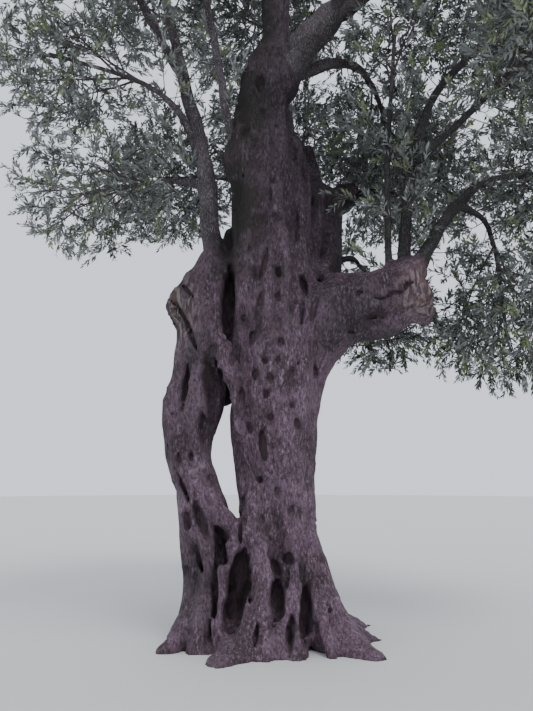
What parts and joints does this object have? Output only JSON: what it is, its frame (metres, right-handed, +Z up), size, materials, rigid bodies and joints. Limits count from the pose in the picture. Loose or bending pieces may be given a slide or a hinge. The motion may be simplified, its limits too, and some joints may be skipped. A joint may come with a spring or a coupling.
{
  "type": "olive tree",
  "caption": "Ancient gnarled olive tree with a corded, flared trunk, a side stem round an open window, a sawn side limb and an airy grey-green crown.",
  "frame": {"origin": "on the flat cut at ground level, under the foot of the main trunk", "axes": "+Z up, +X towards the sawn side limb, to the right in the picture, +Y away from the camera"},
  "size_m": [7.155, 6.4028, 9.2709],
  "materials": {
    "trunk_bark": "rough, ridged and pitted bark",
    "bough_bark": "matt, finely cracked bark",
    "foliage": "leathery leaves, dark above and silvery below"
  },
  "bodies": {
    "root": {"trunk": "trunk_bark", "left_stem": "trunk_bark", "right_stub": "trunk_bark", "back_stem": "trunk_bark", "fork_left_bough": "trunk_bark", "left_bough": "bough_bark", "left_side_bough": "bough_bark", "left_low_bough": "bough_bark", "left_front_bough": "bough_bark", "inner_left_bough": "bough_bark", "fork_right_bough": "bough_bark", "front_right_bough": "bough_bark", "fork_side_bough": "bough_bark", "back_top_bough": "bough_bark", "back_bough": "bough_bark", "back_right_bough": "bough_bark", "back_left_bough": "bough_bark", "back_low_bough": "bough_bark", "right_under_bough": "bough_bark", "upright_shoot": "bough_bark", "rising_shoot": "bough_bark", "outer_shoot": "bough_bark", "drooping_bough": "bough_bark", "right_front_bough": "bough_bark", "foliage_left_high": "foliage", "foliage_left_low": "foliage", "foliage_left_top": "foliage", "foliage_left_front": "foliage", "foliage_front_left": "foliage", "foliage_top": "foliage", "foliage_right_top": "foliage", "foliage_front_right": "foliage", "foliage_right_upright": "foliage", "foliage_right_high": "foliage", "foliage_right_mid": "foliage", "foliage_right_low": "foliage", "foliage_right_front": "foliage", "foliage_right_inner": "foliage", "foliage_right_under": "foliage", "foliage_back_right": "foliage", "foliage_back": "foliage", "foliage_back_left": "foliage", "foliage_back_top": "foliage", "foliage_back_low": "foliage"}
  },
  "joints": []
}
